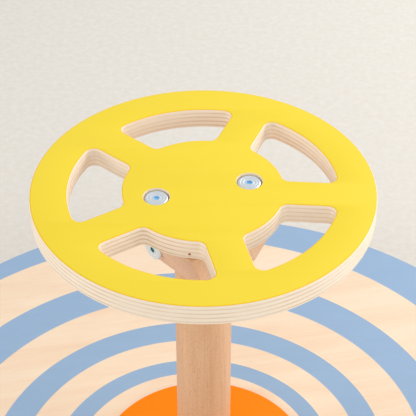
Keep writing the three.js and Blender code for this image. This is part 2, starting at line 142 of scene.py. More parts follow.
class Graph:
    """The node tree of one material, built a node at a time."""

    def __init__(self, name, surface=()):
        self.material = bpy.data.materials.new(name)
        self.material.use_nodes = True
        self.tree = self.material.node_tree
        self.tree.nodes.clear()
        output = self.tree.nodes.new("ShaderNodeOutputMaterial")
        self.shader = self.tree.nodes.new("ShaderNodeBsdfPrincipled")
        self.tree.links.new(self.shader.outputs[0], output.inputs[0])
        self.place = self.tree.nodes.new("ShaderNodeTexCoord").outputs["Object"]
        for socket, value in dict(surface).items():
            self.shader.inputs[socket].default_value = value

    def add(self, kind, inputs=(), **settings):
        node = self.tree.nodes.new("ShaderNode" + kind)
        for key, value in settings.items():
            setattr(node, key, value)
        for key, value in dict(inputs).items():
            if isinstance(value, bpy.types.NodeSocket):
                self.tree.links.new(value, node.inputs[key])
            else:
                node.inputs[key].default_value = value
        return node

    def math(self, operation, first, second=0.0):
        return self.add("Math", {0: first, 1: second}, operation=operation).outputs[0]

    def stretched(self, along, across, turn=(0, 0, 0), axis=0):
        """Object coordinates in which a unit is `along` one axis and `across` the other two."""
        scale = [1 / across] * 3
        scale[axis] = 1 / along
        turned = self.add("Mapping", {"Vector": self.place, "Rotation": turn}).outputs[0]
        return self.add("Mapping", {"Vector": turned, "Scale": scale}).outputs[0]

    def noise(self, vector, detail=2.0, scale=1.0, roughness=0.5, distortion=0.0):
        inputs = {"Vector": vector, "Scale": scale, "Detail": detail}
        inputs |= {"Roughness": roughness, "Distortion": distortion}
        return self.add("TexNoise", inputs).outputs[0]

    def ramp(self, value, *stops):
        """Each stop is (position, number) or (position, colour)."""
        node = self.add("ValToRGB", {0: value})
        for i, (position, shade) in enumerate(stops):
            stop = node.color_ramp.elements[i] if i < 2 else node.color_ramp.elements.new(position)
            stop.position = position
            stop.color = shade if isinstance(shade, tuple) else (shade, shade, shade, 1)
        return node.outputs[0]

    def mix(self, share, first, second, blend="MIX"):
        node = self.add("Mix", {"Factor": share}, data_type="RGBA", blend_type=blend)
        for socket, value in ((node.inputs[6], first), (node.inputs[7], second)):
            if isinstance(value, bpy.types.NodeSocket):
                self.tree.links.new(value, socket)
            else:
                socket.default_value = value
        return node.outputs[2]

    def between(self, value, start, end):
        """0 before start, 1 after end, straight between."""
        node = self.add("MapRange", {"Value": value, "From Min": start, "From Max": end})
        return node.outputs[0]

    def axes(self):
        return self.add("SeparateXYZ", {0: self.place}).outputs

    def finish(self, colour=None, roughness=None, height=None, depth=0.1 * MM, strength=0.5):
        link = self.tree.links.new
        if colour is not None:
            link(colour, self.shader.inputs["Base Color"])
        if roughness is not None:
            link(roughness, self.shader.inputs["Roughness"])
        if height is not None:
            bump = self.add("Bump", {"Height": height, "Distance": depth, "Strength": strength})
            link(bump.outputs[0], self.shader.inputs["Normal"])
        return self.material


def grain(graph, light, dark, turn=(0, 0, 0), axis=0, width=7 * MM):
    """Colour and fibre height of a board, its grain along one axis."""
    broad = graph.noise(graph.stretched(200 * MM, width * 4, turn, axis), 3, distortion=0.6)
    streak = graph.noise(graph.stretched(90 * MM, width * 0.45, turn, axis), 4, roughness=0.6)
    fibre = graph.noise(graph.stretched(14 * MM, 0.45 * MM, turn, axis), 2)
    both = graph.math("ADD", graph.math("MULTIPLY", broad, 0.6), graph.math("MULTIPLY", streak, 0.4))
    colour = graph.mix(graph.between(both, 0.36, 0.66), light, dark)
    fine = graph.ramp(fibre, (0.3, 0.96), (0.62, 1.0))
    return graph.mix(1.0, colour, fine, "MULTIPLY"), fibre


def birch_face(name, printed=None):
    """Lacquered birch veneer, its grain near X; with a colour, the spiral is printed on it."""
    graph = Graph(name, {"Specular IOR Level": 0.35})
    turn = (0, 0, math.radians(-12))
    colour, fibre = grain(graph, BIRCH_LIGHT, BIRCH_DARK, turn, width=9 * MM)
    patch = graph.noise(graph.stretched(160 * MM, 45 * MM, turn), 3)
    colour = graph.mix(graph.between(patch, 0.5, 0.72), colour, linear(248, 228, 203))
    cross = graph.noise(graph.stretched(3 * MM, 35 * MM, turn), 2)
    colour = graph.mix(graph.between(cross, 0.62, 0.95), colour, linear(247, 216, 188))
    speck = graph.noise(graph.stretched(9 * MM, 0.9 * MM, turn), 1)
    colour = graph.mix(graph.between(speck, 0.78, 0.86), colour, linear(226, 180, 140))
    if printed:
        x, y, _ = graph.axes()
        distance = graph.math("SQRT", graph.math("ADD", graph.math("MULTIPLY", x, x),
                                                 graph.math("MULTIPLY", y, y)))
        turns = graph.math("DIVIDE", graph.math("ARCTAN2", y, x), TURN)
        growth = graph.math("DIVIDE", distance, SPIRAL_RADIUS)
        growth = graph.math("LOGARITHM", growth, SPIRAL_GROWTH)
        phase = graph.math("SUBTRACT", graph.math("ADD", growth, 0.25), turns)
        # whole turns keep the phase above zero
        phase = graph.math("FRACT", graph.math("ADD", phase, 40))
        soft = 0.0012  # half the width of the band's edge, in turns
        inner = graph.between(phase, SPIRAL_BARE - soft, SPIRAL_BARE + soft)
        outer = graph.between(phase, 1.0, 1.0 - 2 * soft)
        band = graph.math("MULTIPLY", inner, outer)
        cloud = graph.noise(graph.stretched(60 * MM, 14 * MM), 3)
        ink = graph.mix(cloud, printed, linear(154, 183, 215))
        ink = graph.mix(0.10, ink, graph.ramp(fibre, (0.3, 0.55), (0.65, 1.0)), "MULTIPLY")
        colour = graph.mix(band, colour, ink)
    rough = graph.ramp(fibre, (0.2, 0.5), (0.8, 0.62))
    return graph.finish(colour, rough, fibre, 0.05 * MM, 0.25)


def ply_edge(name, node, knot=None):
    """Sawn and sanded edge of birch plywood: of its veneers, those cut across the grain are darker."""
    graph = Graph(name, {"Specular IOR Level": 0.3})
    z = graph.axes()[2]
    depth = graph.math("DIVIDE", graph.math("SUBTRACT", z, low(node)), high(node) - low(node))
    wander = graph.noise(graph.stretched(60 * MM, 60 * MM), 3)
    wander = graph.math("MULTIPLY", graph.math("SUBTRACT", wander, 0.5), 0.035)
    pairs = graph.math("MULTIPLY", graph.math("ADD", depth, wander), VENEERS / 2)
    phase = graph.math("FRACT", graph.math("ADD", pairs, 0.12))
    dark = graph.ramp(phase, (0.0, 0.0), (0.56, 0.0), (0.72, 1.0), (0.82, 1.0), (0.97, 0.0))
    level = graph.stretched(0.35 * MM, 26 * MM, axis=2)
    streak = graph.noise(level, 3)
    light = graph.mix(graph.between(streak, 0.35, 0.7), linear(253, 240, 221), linear(245, 227, 203))
    pore = graph.noise(graph.stretched(0.5 * MM, 0.5 * MM), 2)
    brown = graph.mix(graph.between(pore, 0.35, 0.7), linear(228, 194, 160), linear(208, 168, 130))
    patch = graph.noise(graph.stretched(45 * MM, 45 * MM), 2)
    share = graph.math("MULTIPLY", dark, graph.between(patch, 0.22, 0.8))
    colour = graph.mix(share, light, brown)
    glue = graph.ramp(phase, (0.0, 0.0), (0.60, 0.0), (0.635, 0.35), (0.67, 0.0))
    colour = graph.mix(glue, colour, linear(178, 132, 96))
    if knot:
        away = graph.add("VectorMath", {0: graph.place, 1: knot}, operation="DISTANCE").outputs["Value"]
        ragged = graph.math("MULTIPLY", graph.noise(graph.stretched(1 * MM, 1 * MM), 2), 1.2 * MM)
        away = graph.math("ADD", away, ragged)
        colour = graph.mix(graph.between(away, 2.1 * MM, 1.5 * MM), colour, linear(150, 62, 34))
    rough = graph.ramp(pore, (0.3, 0.55), (0.7, 0.75))
    height = graph.math("SUBTRACT", streak, graph.math("MULTIPLY", dark, pore))
    return graph.finish(colour, rough, height, 0.08 * MM, 0.35)


def beech(name, axis, turn=(0, 0, 0), light=(232, 188, 148), dark=(218, 168, 124)):
    """Steamed beech with its short brown ray flecks."""
    graph = Graph(name, {"Specular IOR Level": 0.6})
    colour, fibre = grain(graph, linear(*light), linear(*dark), turn, axis, 6 * MM)
    fleck = graph.noise(graph.stretched(3.2 * MM, 0.42 * MM, turn, axis), 1)
    colour = graph.mix(graph.between(fleck, 0.60, 0.74), colour, linear(192, 138, 98))
    line = graph.noise(graph.stretched(70 * MM, 1.0 * MM, turn, axis), 2)
    colour = graph.mix(graph.between(line, 0.54, 0.82), colour, linear(210, 154, 112))
    speck = graph.noise(graph.stretched(16 * MM, 2.2 * MM, turn, axis), 3, roughness=0.7)
    colour = graph.mix(graph.between(speck, 0.70, 0.80), colour, linear(198, 126, 84))
    rough = graph.ramp(fibre, (0.2, 0.36), (0.8, 0.52))
    return graph.finish(colour, rough, fibre, 0.07 * MM, 0.35)


def laminate(name, colour, edge, node):
    """Smooth coloured laminate, deeper where the edge is rounded over: partly the coating's own colour,
    partly painted shade.
    """
    graph = Graph(name, {"Specular IOR Level": 0.25})
    z = graph.axes()[2]
    from_face = graph.math("MINIMUM", graph.math("SUBTRACT", high(node), z),
                           graph.math("SUBTRACT", z, low(node)))
    cloud = graph.noise(graph.stretched(80 * MM, 80 * MM), 2)
    face = graph.mix(cloud, colour, linear(252, 223, 56))
    # the deeper yellow on the rounded-over edge is partly painted shade
    shade = graph.mix(graph.between(from_face, 0.01 * MM, 0.06 * MM), face, edge)
    peel = graph.noise(graph.stretched(1.6 * MM, 1.6 * MM), 2)
    return graph.finish(shade, graph.ramp(peel, (0.2, 0.42), (0.8, 0.52)), peel, 0.02 * MM, 0.25)


def coated(name, colour, other, rough=(0.42, 0.55), grainy=0.8 * MM):
    """Paint or moulded plastic: a faint cloud in its colour and a fine skin."""
    graph = Graph(name, {"Specular IOR Level": 0.1})
    cloud = graph.noise(graph.stretched(40 * MM, 40 * MM), 3)
    skin = graph.noise(graph.stretched(grainy, grainy), 2)
    shade = graph.mix(cloud, colour, other)
    return graph.finish(shade, graph.ramp(skin, (0.2, rough[0]), (0.8, rough[1])), skin, 0.03 * MM, 0.3)


def metal(name, colour, other, rough=(0.22, 0.36), metallic=1.0):
    """Plated or ground steel with fine marks."""
    graph = Graph(name, {"Metallic": metallic})
    cloud = graph.noise(graph.stretched(4 * MM, 4 * MM), 4)
    mark = graph.noise(graph.stretched(6 * MM, 0.25 * MM), 2)
    shade = graph.mix(graph.between(cloud, 0.3, 0.7), colour, other)
    return graph.finish(shade, graph.ramp(cloud, (0.3, rough[0]), (0.7, rough[1])), mark, 0.01 * MM, 0.3)


BIRCH_LIGHT = linear(250, 227, 201)
BIRCH_DARK = linear(244, 213, 183)
VENEERS = 9
KNOT_ANGLE = math.radians(-99.4)
KNOT_DEPTH = 15.2 * MM  # below the wheel's top face
knot_place = Vector((WINDOW_INNER * math.cos(KNOT_ANGLE), WINDOW_INNER * math.sin(KNOT_ANGLE),
                     high("hand_wheel") - KNOT_DEPTH))

looks = {
    # the second yellow is the deeper edge, partly painted shade
    "yellow": laminate("yellow_laminate", linear(254, 227, 64), linear(255, 204, 2), "hand_wheel"),
    "wheel_ply": ply_edge("wheel_plywood_edge", "hand_wheel", knot_place),
    "platform_print": birch_face("birch_with_blue_spiral", linear(148, 177, 210)),
    "platform_ply": ply_edge("platform_plywood_edge", "platform"),
    "birch": birch_face("birch_veneer"),
    "base_ply": ply_edge("base_plywood_edge", "base_board"),
    "post": beech("beech_post", 2),
    "head": beech("beech_head_block", 2, (0.03, 0.05, 0), (240, 200, 164), (226, 180, 142)),
    "orange": coated("orange_paint", linear(255, 138, 8), linear(253, 132, 6)),
    "zinc": metal("bright_zinc", linear(236, 244, 250), linear(222, 232, 241), (0.25, 0.4), 0.55),
    # light blue for the bolts' sockets: a painted reflection of the sky
    "zinc_painted_sky_reflection": metal("zinc_painted_sky_reflection", linear(156, 218, 252), linear(128, 200, 246), (0.3, 0.45), 0.1),
    # darker teal for the barrel nuts' sockets: painted shade in the recess and a painted reflection
    "zinc_painted_shade_reflection": metal("zinc_painted_shade_reflection", linear(104, 176, 186), linear(62, 132, 142), (0.3, 0.45), 0.3),
    "steel": metal("ground_steel", linear(188, 192, 197), linear(160, 165, 170), (0.26, 0.42)),
    "rubber": coated("black_rubber", linear(40, 40, 42), linear(28, 28, 30), (0.7, 0.9), 0.5 * MM),
    "nylon": coated("natural_nylon", linear(236, 232, 222), linear(222, 217, 204)),
}


# ------------------------------------------------------------------ shapes

class Shape:
    """Vertices and faces of one closed body, each face with the number of its material."""

    def __init__(self):
        self.points = []
        self.faces = []
        self.numbers = []

    def face(self, indices, number=0):
        self.faces.append(tuple(indices))
        self.numbers.append(number)

    def join(self, other, number=None):
        first = len(self.points)
        self.points += other.points
        for indices, mine in zip(other.faces, other.numbers):
            self.face([first + i for i in indices], mine if number is None else number)
        return self

    def moved(self, matrix):
        self.points = [matrix @ Vector(p) for p in self.points]
        return self

    def at(self, x, y, z=0.0):
        return self.moved(Matrix.Translation((x, y, z)))


def mesh_of(name, shape, materials=()):
    data = bpy.data.meshes.new(name)
    data.from_pydata(shape.points, [], shape.faces)
    for key in materials:
        data.materials.append(looks[key])
    data.polygons.foreach_set("material_index", shape.numbers)
    tidy = bmesh.new()
    tidy.from_mesh(data)
    bmesh.ops.remove_doubles(tidy, verts=tidy.verts, dist=1e-7)
    bmesh.ops.recalc_face_normals(tidy, faces=tidy.faces)
    tidy.to_mesh(data)
    tidy.free()
    made = bpy.data.objects.new(name, data)
    bpy.context.scene.collection.objects.link(made)
    return made


def drilled(piece, cutters):
    """The piece with every cutter taken out of it. The cutters don't touch each other."""
    tools = Shape()
    for cutter in cutters:
        tools.join(cutter)
    tool = mesh_of("cutter", tools)
    change = piece.modifiers.new("cut", "BOOLEAN")
    change.operation = "DIFFERENCE"
    change.solver = "EXACT"
    change.object = tool
    bpy.context.view_layer.update()
    result = piece.evaluated_get(bpy.context.evaluated_depsgraph_get())
    cut_mesh = bpy.data.meshes.new_from_object(result)
    piece.modifiers.clear()
    piece.data = cut_mesh
    bpy.data.objects.remove(tool)
    return piece


def keep(piece, body, replaced, sharp=32):
    """Smooth shading and the piece's body; the CAD node that it replaces is hidden."""
    piece.data.polygons.foreach_set("use_smooth", [True] * len(piece.data.polygons))
    piece.data.set_sharp_from_angle(angle=math.radians(sharp))
    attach(piece, body)
    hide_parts(replaced)
    return piece


def softened(points, closed=False, steps=4):
    """An outline with its corners rounded. Each point is (x, y) or (x, y, corner radius)."""
    made = []
    count = len(points)
    for i, point in enumerate(points):
        here = Vector(point[:2])
        size = point[2] if len(point) > 2 else 0
        if not size or (not closed and i in (0, count - 1)):
            made.append(here)
            continue
        back = Vector(points[i - 1][:2]) - here
        ahead = Vector(points[(i + 1) % count][:2]) - here
        half = back.angle(ahead) / 2
        reach = min(size / math.tan(half), back.length * 0.49, ahead.length * 0.49)
        size = reach * math.tan(half)
        middle = here + (back.normalized() + ahead.normalized()).normalized() * size / math.sin(half)
        start = here + back.normalized() * reach - middle
        end = here + ahead.normalized() * reach - middle
        sweep = start.angle_signed(end)
        for k in range(steps + 1):
            turn = Matrix.Rotation(-sweep * k / steps, 2)
            made.append(middle + turn @ start)
    return made


def turned(profile, segments=96, closed=False, steps=4, numbers=None):
    """A body turned about Z from an outline of (radius, height, corner radius).

    An open outline starts and ends on the axis. numbers(radius, height) picks a material."""
    line = softened(profile, closed, steps)
    shape = Shape()
    rows = []
    for spot, lift in line:
        if spot < 1e-9:
            rows.append([len(shape.points)] * segments)
            shape.points.append(Vector((0, 0, lift)))
            continue
        rows.append(list(range(len(shape.points), len(shape.points) + segments)))
        for i in range(segments):
            angle = TURN * i / segments
            shape.points.append(Vector((spot * math.cos(angle), spot * math.sin(angle), lift)))
    for k in range(len(rows) if closed else len(rows) - 1):
        first, second = rows[k], rows[(k + 1) % len(rows)]
        middle = (line[k] + line[(k + 1) % len(line)]) / 2
        number = numbers(*middle) if numbers else 0
        for i in range(segments):
            j = (i + 1) % segments
            corners = [first[i], first[j], second[j], second[i]]
            corners = list(dict.fromkeys(corners))
            if len(corners) > 2:
                shape.face(corners, number)
    return shape


def loft(levels, numbers=None):
    """A body through outlines of equal counts, closed at both ends by a fan."""
    shape = Shape()
    count = len(levels[0])
    for outline in levels:
        shape.points += [Vector(p) for p in outline]
    for k in range(len(levels) - 1):
        number = numbers[k] if numbers else 0
        for i in range(count):
            j = (i + 1) % count
            first, second = k * count, (k + 1) * count
            shape.face((first + i, first + j, second + j, second + i), number)
    for k, flip in ((0, True), (len(levels) - 1, False)):
        middle = len(shape.points)
        shape.points.append(sum(map(Vector, levels[k]), Vector()) / count)
        number = numbers[min(k, len(numbers) - 1)] if numbers else 0
        for i in range(count):
            pair = (k * count + i, k * count + (i + 1) % count)
            shape.face((*(pair[::-1] if flip else pair), middle), number)
    return shape


def circle(size, lift, count=96):
    return [(size * math.cos(TURN * i / count), size * math.sin(TURN * i / count), lift)
            for i in range(count)]


def polygon(across, sides, lift, count=96):
    """A regular polygon by its width across flats, as an outline of many points."""
    made = []
    for i in range(count):
        angle = TURN * i / count
        off = angle % (TURN / sides) - math.pi / sides
        reach = across / 2 / math.cos(off)
        made.append((reach * math.cos(angle), reach * math.sin(angle), lift))
    return made


def cross(arm, width, lift, count=96):
    """The outline of a crossed recess."""
    made = []
    for i in range(count):
        angle = TURN * i / count
        off = abs((angle + math.pi / 4) % QUARTER - math.pi / 4)
        reach = min(arm, width / 2 / max(math.sin(off), 1e-6))
        made.append((reach * math.cos(angle), reach * math.sin(angle), lift))
    return made


def bore(x, y, size, start, end, segments=48):
    return turned([(0, start), (size, start), (size, end), (0, end)], segments).at(x, y)


def rounded_band(bottom, top, edge, steps=4):
    """(inset, height) up the wall of a board whose edges are rounded."""
    arc = [QUARTER * k / steps for k in range(steps + 1)]
    lower = [(edge * (1 - math.sin(a)), bottom + edge * (1 - math.cos(a))) for a in arc]
    return lower + [(inset, bottom + top - lift) for inset, lift in reversed(lower)]


def board(outer, holes, bottom, top, edge, face_number, wall_number):
    """A flat board: outer(inset) and each of holes(inset) give an outline, holes the other way in."""
    band = rounded_band(bottom, top, edge)
    shape = Shape()
    rims = []
    for outline in (outer, *holes):
        rows = []
        for inset, lift in band:
            flat = outline(inset)
            rows.append(range(len(shape.points), len(shape.points) + len(flat)))
            shape.points += [Vector((x, y, lift)) for x, y in flat]
        for k in range(len(rows) - 1):
            # the facing covers the flatter half of each rounding, which is four strips high
            facing = k < 2 or k >= len(rows) - 3
            for i in range(len(rows[0])):
                j = (i + 1) % len(rows[0])
                corners = (rows[k][i], rows[k][j], rows[k + 1][j], rows[k + 1][i])
                shape.face(corners, face_number if facing else wall_number)
        rims.append((rows[0], rows[-1]))
    for end in (0, 1):
        loops = [[shape.points[i] for i in rim[end]] for rim in rims]
        flat = [i for rim in rims for i in rim[end]]
        for triangle in tessellate_polygon(loops):
            shape.face([flat[i] for i in triangle], face_number)
    return shape


# ------------------------------------------------------------------ hand wheel

def arc_points(x, y, size, start, end, steps):
    return [(x + size * math.cos(start + (end - start) * k / steps),
             y + size * math.sin(start + (end - start) * k / steps)) for k in range(steps + 1)]


def window(number):
    """The outline of one window as a function of how far it is opened out."""
    pitch = TURN / WINDOW_COUNT
    first = WHEEL_TURN + number * pitch

    def outline(grown):
        far, near = WINDOW_OUTER - WINDOW_FILLET, WINDOW_INNER + WINDOW_FILLET
        offset = SPOKE_HALF + WINDOW_FILLET
        wide, narrow = math.asin(offset / far), math.asin(offset / near)
        fillet = WINDOW_FILLET + grown

        def corner(size, angle, start, end):
            spot = (size * math.cos(first + angle), size * math.sin(first + angle))
            return arc_points(*spot, fillet, first + start, first + end, 12)

        outer = arc_points(0, 0, WINDOW_OUTER + grown, first + wide, first + pitch - wide, 40)
        inner = arc_points(0, 0, WINDOW_INNER - grown, first + pitch - narrow, first + narrow, 24)
        return (corner(far, wide, -QUARTER, wide) + outer[1:-1]
                + corner(far, pitch - wide, pitch - wide, pitch + QUARTER)
                + corner(near, pitch - narrow, pitch + QUARTER, pitch + math.pi - narrow)
                + inner[1:-1]
                + corner(near, narrow, math.pi + narrow, 3 * QUARTER))
    return outline


def round_outline(x, y, size, grows, count):
    def outline(inset):
        reach = size + inset if grows else size - inset
        return arc_points(x, y, reach, 0, TURN, count)[:-1]
    return outline


def hand_wheel():
    bottom, top = low("hand_wheel"), high("hand_wheel")
    bolts = [centre(n) for n in nodes("wheel_bolt_")]
    windows = [window(k) for k in range(WINDOW_COUNT)]
    outer = round_outline(0, 0, radius("hand_wheel"), False, 320)
    shape = board(outer, windows, bottom, top, WHEEL_EDGE, 0, 1)
    piece = mesh_of("hand_wheel_board", shape, ("yellow", "wheel_ply"))
    seat = high("wheel_bolt_1") - POCKET_DEPTH
    cutters = []
    for spot in bolts:
        # the mouth of the counterbore flares a little
        profile = [(0, bottom - PAST), (BOLT_HOLE, bottom - PAST), (BOLT_HOLE, seat),
                   (POCKET_RADIUS, seat), (POCKET_RADIUS, top - 0.35 * MM, 0.3 * MM),
                   (POCKET_RADIUS + 0.6 * MM, top + 0.25 * MM), (0, top + 0.25 * MM)]
        pocket = turned(profile, 96, steps=3)
        pocket.numbers = [1] * len(pocket.numbers)
        cutters.append(pocket.at(spot.x, spot.y))
    drilled(piece, cutters)
    keep(piece, "base", "hand_wheel", 25)


def crown(size, top):
    """The ringed face of a flat metal head, as (radius, drop in millimetres) from its rim inwards."""
    rings = [(size, 1.0), (size - 0.25 * MM, 0.45), (size - 0.9 * MM, 0.08), (size - 1.5 * MM, 0.0),
             (8.1 * MM, 0.02), (7.8 * MM, 0.18), (7.4 * MM, 0.18), (7.1 * MM, 0.05),
             (5.2 * MM, 0.08), (4.95 * MM, 0.22), (4.6 * MM, 0.22), (4.35 * MM, 0.10)]
    return [circle(reach, top - drop * MM) for reach, drop in rings]


def socket(top, depth):
    """A hexagon socket with a bevelled mouth."""
    return [polygon(5.3 * MM, 6, top - 0.14 * MM), polygon(5.0 * MM, 6, top - 0.35 * MM),
            polygon(5.0 * MM, 6, top - depth), circle(1.2 * MM, top - depth - 0.1 * MM)]


def wheel_bolt(node):
    """Flat-headed connector bolt: ringed head, hexagon socket, rolled thread."""
    bottom, top = low(node), high(node)
    head = radius(node)
    seat = top - BOLT_HEAD
    crest, root, pitch = 4.0 * MM, 3.4 * MM, 1.25 * MM
    thread_end = bottom + 34 * MM
    levels = [circle(2.6 * MM, bottom), circle(root, bottom + 0.8 * MM)]
    lift = bottom + 1.2 * MM
    while lift < thread_end:
        levels += [circle(crest, lift), circle(root, lift + 0.62 * MM)]
        lift += pitch
    levels += [circle(crest, lift + 0.4 * MM), circle(crest, seat)]
    levels += [circle(head - 0.3 * MM, seat), circle(head, seat + 0.3 * MM)]
    levels += crown(head, top)
    plain = len(levels)
    levels += socket(top, SOCKET_DEPTH)
    # the socket's faces are light blue, a painted reflection of the sky
    numbers = [0] * plain + [1] * (len(levels) - plain)
    spot = centre(node)
    piece = mesh_of(node + "_turned", loft(levels, numbers).at(spot.x, spot.y), ("zinc", "zinc_painted_sky_reflection"))
    keep(piece, "base", node, 30)


def barrel_nut(node, bolt, side):
    """Headed barrel nut: a steel bar across the block, threaded through, its head ringed."""
    size, head, face = BARREL_RADIUS, BARREL_HEAD_RADIUS, BARREL_HEAD_FACE
    levels = [circle(size - 0.6 * MM, -BARREL_INNER_END), circle(size, 0.6 * MM - BARREL_INNER_END)]
    levels += [circle(size, BARREL_HEAD_BACK), circle(head - 0.2 * MM, BARREL_HEAD_BACK)]
    levels += [circle(head, BARREL_HEAD_BACK + 0.2 * MM), *crown(head, face)]
    plain = len(levels)
    levels += socket(face, SOCKET_DEPTH)
    # the socket's faces are darker teal: painted shade in the recess and a painted reflection
    numbers = [0] * plain + [1] * (len(levels) - plain)
    piece = mesh_of(node + "_bar", loft(levels, numbers), ("zinc", "zinc_painted_shade_reflection"))
    thread = bore(0, 0, BARREL_THREAD, -size - PAST, size + PAST).moved(Matrix.Rotation(QUARTER, 4, "Y"))
    drilled(piece, [thread])
    turn = HEAD_TURN + (0 if side > 0 else math.pi)
    spot = centre(bolt)
    place = Matrix.Translation((spot.x, spot.y, centre(node).z)) @ Matrix.Rotation(turn, 4, "Z")
    piece.data.transform(place @ Matrix.Rotation(QUARTER, 4, "Y"))
    keep(piece, "base", node, 30)


# ------------------------------------------------------------------ head block and post

def head_block():
    bottom, top = low("head_block"), high("head_block")
    shape = Shape()
    for half, lift in ((HEAD_BOTTOM_HALF, bottom), (HEAD_TOP_HALF, top)):
        for x, y in ((-1, -1), (1, -1), (1, 1), (-1, 1)):
            shape.points.append(Vector((x * half[0], y * half[1], lift)))
    for indices in ((3, 2, 1, 0), (4, 5, 6, 7), (0, 1, 5, 4), (1, 2, 6, 5), (2, 3, 7, 6), (3, 0, 4, 7)):
        shape.face(indices)
    piece = mesh_of("head_block_wood", shape, ("head",))
    rounding = bmesh.new()
    rounding.from_mesh(piece.data)
    bmesh.ops.bevel(rounding, geom=rounding.edges[:], offset=1.6 * MM, segments=4,
                    profile=0.5, affect="EDGES")
    rounding.to_mesh(piece.data)
    rounding.free()
    seat = top - HEAD_POCKET_DEPTH
    cutters = [bore(0, 0, ROD_HOLE, bottom - PAST, seat)]
    cutters.append(bore(0, 0, NUT_POCKET, seat, top + PAST, 64))
    unturn = Matrix.Rotation(-HEAD_TURN, 4, "Z")
    for k, side in ((1, 1), (2, -1)):
        spot = unturn @ centre(f"wheel_bolt_{k}")
        nut = unturn @ centre(f"barrel_nut_{k}")
        out = HEAD_TOP_HALF[0] + 2 * MM
        for size, start in ((BARREL_RADIUS + BARREL_PLAY, -BARREL_INNER_END - 0.5 * MM),
                            (BARREL_HEAD_POCKET, BARREL_HEAD_BACK - 0.3 * MM)):
            hole = bore(0, 0, size, abs(spot.x) + start, out, 72)
            hole.moved(Matrix.Rotation(side * QUARTER, 4, "Y"))
            cutters.append(hole.at(0, spot.y, nut.z))
        cutters.append(bore(spot.x, spot.y, BOLT_HOLE, nut.z, top + PAST))
    # these bores run into one another, so each is cut by itself
    for cutter in cutters:
        drilled(piece, [cutter])
    piece.data.transform(Matrix.Rotation(HEAD_TURN, 4, "Z"))
    keep(piece, "base", "head_block", 28)


def post():
    bottom, top, size = low("post"), high("post"), radius("post")
    profile = [(ROD_HOLE, bottom, 0.3 * MM), (size, bottom, 1 * MM), (size, top, 1.2 * MM),
               (ROD_HOLE, top, 0.3 * MM)]
    piece = mesh_of("post_turned", turned(profile, 160, closed=True), ("post",))
    spots = [centre(n) for n in nodes("dowel_")]
    drilled(piece, [bore(s.x, s.y, DOWEL_HOLE, top - DOWEL_DEPTH, top + PAST) for s in spots])
    keep(piece, "base", "post", 30)


def dowel(node):
    """Fluted beech dowel with chamfered ends."""
    bottom, top, size = low(node), high(node), radius(node)

    def fluted(reach, lift, count=96):
        made = []
        for i in range(count):
            angle = TURN * i / count
            spot = reach * (1 - 0.05 * (0.5 + 0.5 * math.cos(16 * angle)))
            made.append((spot * math.cos(angle), spot * math.sin(angle), lift))
        return made

    levels = [fluted(size * 0.8, bottom), fluted(size, bottom + 1 * MM),
              fluted(size, top - 1 * MM), fluted(size * 0.8, top)]
    spot = centre(node)
    piece = mesh_of(node + "_fluted", loft(levels).at(spot.x, spot.y), ("post",))
    keep(piece, "base", node, 40)


def threaded(size, depth, start, end, pitch):
    levels = []
    lift = start
    while lift + pitch < end:
        levels += [circle(size - depth, lift, 64), circle(size, lift + pitch / 2, 64)]
        lift += pitch
    return levels


def tie_rod():
    bottom, top, size = low("tie_rod"), high("tie_rod"), radius("tie_rod")
    depth, pitch = 0.9 * MM, 1.75 * MM
    plain = 36 * MM  # where the plain length starts, from each end
    levels = [circle(size - 1.2 * MM, bottom, 64)]
    levels += threaded(size, depth, bottom + depth, bottom + plain - 2 * MM, pitch)
    levels += [circle(size, bottom + plain, 64), circle(size, top - plain, 64)]
    levels += threaded(size, depth, top - plain + 1 * MM, top - depth, pitch)
    levels += [circle(size - 1.2 * MM, top, 64)]
    keep(mesh_of("tie_rod_threaded", loft(levels), ("zinc",)), "base", "tie_rod", 30)


def washer(node):
    bottom, top, size = low(node), high(node), radius(node)
    inner = radius("tie_rod") + 0.3 * MM
    edge = 0.35 * MM
    profile = [(inner, bottom, edge), (size, bottom, edge), (size, top, edge), (inner, top, edge)]
    keep(mesh_of(node + "_pressed", turned(profile, 64, True), ("zinc",)), "base", node)


def tie_nut(node):
    """Hexagon nut, its corners chamfered on both faces."""
    bottom, top = low(node), high(node)
    corner = NUT_FLATS / math.sqrt(3)
    face = NUT_FLATS * 0.475

    def hexagon(limit, lift):
        made = []
        for x, y, z in polygon(NUT_FLATS, 6, lift, 96):
            reach = math.hypot(x, y)
            share = min(1.0, limit / reach)
            made.append((x * share, y * share, z))
        return made

    levels = [circle(face, bottom, 96), hexagon(face + 0.6 * MM, bottom + 0.35 * MM),
              hexagon(corner, bottom + 1.1 * MM), hexagon(corner, top - 1.1 * MM),
              hexagon(face + 0.6 * MM, top - 0.35 * MM), circle(face, top, 96)]
    piece = mesh_of(node + "_hexagon", loft(levels), ("zinc",))
    drilled(piece, [bore(0, 0, radius("tie_rod") + 0.25 * MM, bottom - PAST, top + PAST, 64)])
    keep(piece, "base", node, 30)


# ------------------------------------------------------------------ screws

